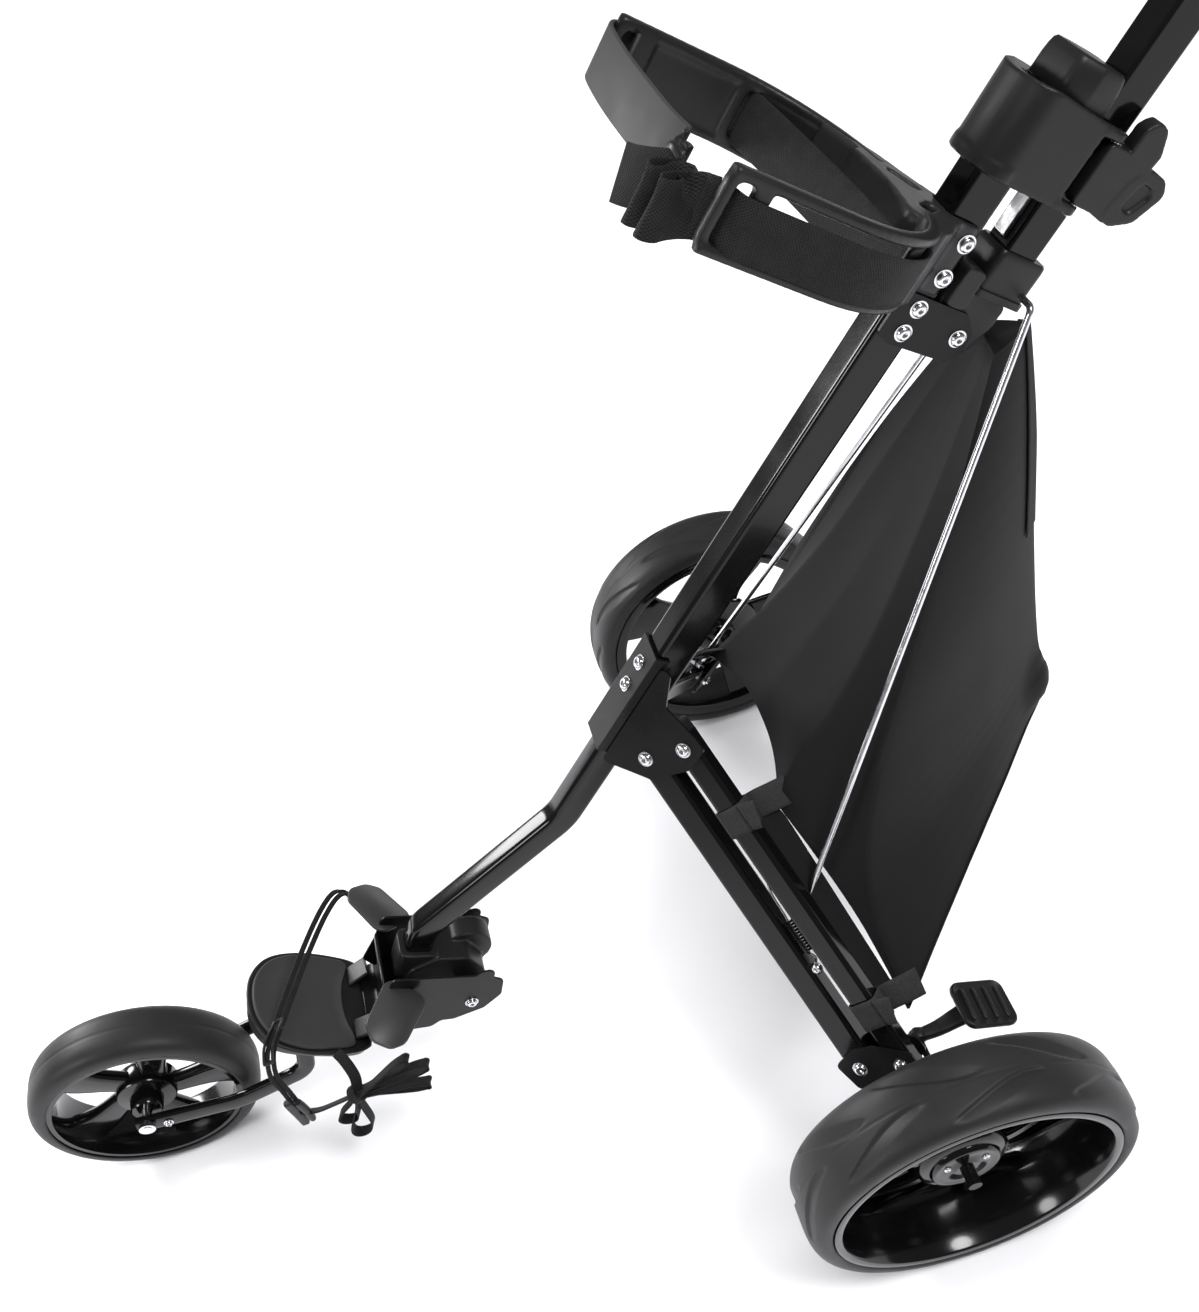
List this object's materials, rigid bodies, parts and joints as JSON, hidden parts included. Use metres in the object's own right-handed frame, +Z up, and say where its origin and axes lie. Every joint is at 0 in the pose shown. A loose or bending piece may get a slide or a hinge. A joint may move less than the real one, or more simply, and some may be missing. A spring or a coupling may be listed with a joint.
{
  "type": "golf push cart",
  "caption": "Folding golf push cart with a curved bag cradle, a tilted bag rest, splayed rear legs, foot brakes and a hanging fabric pouch.",
  "frame": {"origin": "middle of the bounding box in plan, on the floor that the wheels stand on", "axes": "+X towards the front wheel, +Y to the cart's left, +Z up"},
  "size_m": [1.2934, 0.746, 1.0477],
  "materials": {
    "tube_paint": "satin",
    "moulding": "satin",
    "moulding_grey": "satin",
    "plated_steel": "polished",
    "plate_steel": "satin",
    "tyre_foam": "matte",
    "rim_gloss": "gloss",
    "webbing": "woven",
    "pouch_fabric": "woven",
    "strap_tab_grey": "matte",
    "grip_foam": "matte"
  },
  "bodies": {
    "frame": {"main_tube": "tube_paint", "lower_tube": "tube_paint", "hub_bracket": "plate_steel", "hub_bolts": "plated_steel", "leg_pivot_bolts": "plated_steel", "clamp_collar": "moulding", "collar_cap": "moulding", "clamp_pin": "plated_steel", "cradle_saddle": "moulding_grey", "saddle_bolts": "plated_steel", "cradle_arm_left": "moulding", "cradle_arm_right": "moulding", "cradle_strap_left": "webbing", "cradle_strap_right": "webbing", "strap_tab": "strap_tab_grey", "strap_hook": "moulding", "fold_knuckle": "moulding", "fold_bolt": "plated_steel", "hinge_cheeks": "plate_steel", "hinge_bolts": "plated_steel", "storage_bag": "pouch_fabric"},
    "handle": {"handle_tube": "tube_paint", "handle_yoke": "moulding", "handle_bar": "tube_paint", "hand_grips": "grip_foam", "handle_sleeve": "moulding", "handle_block": "moulding", "latch_strip": "plated_steel"},
    "lever": {"clamp_lever": "moulding"},
    "front": {"fold_bracket": "plate_steel", "base_plate": "moulding", "base_pad": "moulding", "base_strap": "webbing", "fork_arm_left": "tube_paint", "fork_arm_right": "tube_paint", "front_axle": "plated_steel"},
    "front_wheel": {"front_tyre": "tyre_foam", "front_rim": "rim_gloss"},
    "leg_front_left": {"leg_front_tube_left": "tube_paint", "leg_spring_left": "plated_steel"},
    "leg_rear_left": {"leg_rear_tube_left": "tube_paint", "leg_cap_left": "moulding", "bag_straps_left": "webbing"},
    "bracket_left": {"wheel_bracket_left": "plate_steel", "leg_foot_bolts_left": "plated_steel"},
    "wheel_left": {"rear_tyre_left": "tyre_foam", "rear_rim_left": "rim_gloss"},
    "pedal_left": {"brake_pedal_left": "moulding"},
    "rod_left": {"stay_rod_left": "plated_steel"},
    "leg_front_right": {"leg_front_tube_right": "tube_paint", "leg_spring_right": "plated_steel"},
    "leg_rear_right": {"leg_rear_tube_right": "tube_paint", "leg_cap_right": "moulding", "bag_straps_right": "webbing"},
    "bracket_right": {"wheel_bracket_right": "plate_steel", "leg_foot_bolts_right": "plated_steel"},
    "wheel_right": {"rear_tyre_right": "tyre_foam", "rear_rim_right": "rim_gloss"},
    "pedal_right": {"brake_pedal_right": "moulding"},
    "rod_right": {"stay_rod_right": "plated_steel"}
  },
  "joints": [
    {"name": "leg_fold_left", "type": "hinge", "parent": "frame", "child": "leg_front_left", "pos_m": [-0.0338, 0.04, 0.404], "axis": [-0.5503, -0.7076, -0.4432], "range_deg": [0, 58], "deforming": ["storage_bag", "leg_spring_left", "leg_spring_right"]},
    {"name": "leg_fold_right", "type": "hinge", "parent": "frame", "child": "leg_front_right", "pos_m": [-0.0338, -0.04, 0.404], "axis": [0.5503, -0.7076, 0.4432], "range_deg": [0, 58]},
    {"name": "leg_link_left", "type": "hinge", "parent": "frame", "child": "leg_rear_left", "pos_m": [-0.0647, 0.0553, 0.418], "axis": [-0.5503, -0.7076, -0.4432], "range_deg": [0, 58]},
    {"name": "leg_link_right", "type": "hinge", "parent": "frame", "child": "leg_rear_right", "pos_m": [-0.0647, -0.0553, 0.418], "axis": [0.5503, -0.7076, 0.4432], "range_deg": [0, 58]},
    {"name": "wheel_bracket_hinge_left", "type": "hinge", "parent": "leg_front_left", "child": "bracket_left", "pos_m": [-0.12666, 0.25397, 0.17769], "axis": [0.5503, 0.7076, 0.4432], "range_deg": [0, 58]},
    {"name": "wheel_bracket_hinge_right", "type": "hinge", "parent": "leg_front_right", "child": "bracket_right", "pos_m": [-0.12666, -0.25397, 0.17769], "axis": [-0.5503, 0.7076, -0.4432], "range_deg": [0, 58]},
    {"name": "handle_fold", "type": "hinge", "parent": "frame", "child": "handle", "pos_m": [-0.32321, 0, 0.70836], "axis": [0, -1, 0], "range_deg": [0, 114.61]},
    {"name": "stay_rod_hinge_left", "type": "hinge", "parent": "leg_rear_left", "child": "rod_left", "pos_m": [-0.12611, 0.14969, 0.28975], "axis": [0.5437, 0.6817, 0.4896], "range_deg": [0, 43.51]},
    {"name": "stay_rod_hinge_right", "type": "hinge", "parent": "leg_rear_right", "child": "rod_right", "pos_m": [-0.12611, -0.14969, 0.28975], "axis": [-0.5437, 0.6817, -0.4896], "range_deg": [0, 43.51]},
    {"name": "rear_wheel_spin_left", "type": "hinge", "parent": "bracket_left", "child": "wheel_left", "pos_m": [-0.1798, 0.34, 0.145], "axis": [0, 1, 0], "continuous": true},
    {"name": "rear_wheel_spin_right", "type": "hinge", "parent": "bracket_right", "child": "wheel_right", "pos_m": [-0.1798, -0.34, 0.145], "axis": [0, 1, 0], "continuous": true},
    {"name": "front_wheel_spin", "type": "hinge", "parent": "front", "child": "front_wheel", "pos_m": [0.5357, 0, 0.111], "axis": [0, 1, 0], "continuous": true},
    {"name": "brake_pedal_left", "type": "hinge", "parent": "bracket_left", "child": "pedal_left", "pos_m": [-0.1838, 0.243, 0.178], "axis": [0, -1, 0], "range_deg": [0, 18]},
    {"name": "brake_pedal_right", "type": "hinge", "parent": "bracket_right", "child": "pedal_right", "pos_m": [-0.1838, -0.243, 0.178], "axis": [0, -1, 0], "range_deg": [0, 18]},
    {"name": "front_fold", "type": "hinge", "parent": "frame", "child": "front", "pos_m": [0.1952, 0, 0.128], "axis": [0, 1, 0], "range_deg": [0, 145], "deforming": ["base_strap"]},
    {"name": "clamp_lever_swing", "type": "hinge", "parent": "frame", "child": "lever", "pos_m": [-0.4123, 0.026, 0.80739], "axis": [0.6259, 0, -0.7799], "range_deg": [0, 100]}
  ],
  "couplings": [
    {"joint": "leg_fold_right", "follows": "leg_fold_left", "ratio": 1},
    {"joint": "leg_link_left", "follows": "leg_fold_left", "ratio": 1},
    {"joint": "leg_link_right", "follows": "leg_fold_left", "ratio": 1},
    {"joint": "wheel_bracket_hinge_left", "follows": "leg_fold_left", "ratio": 1},
    {"joint": "wheel_bracket_hinge_right", "follows": "leg_fold_left", "ratio": 1},
    {"joint": "handle_fold", "follows": "leg_fold_left", "ratio": 1.976},
    {"joint": "stay_rod_hinge_left", "follows": "leg_fold_left", "ratio": 0.75017},
    {"joint": "stay_rod_hinge_right", "follows": "leg_fold_left", "ratio": 0.75017}
  ]
}
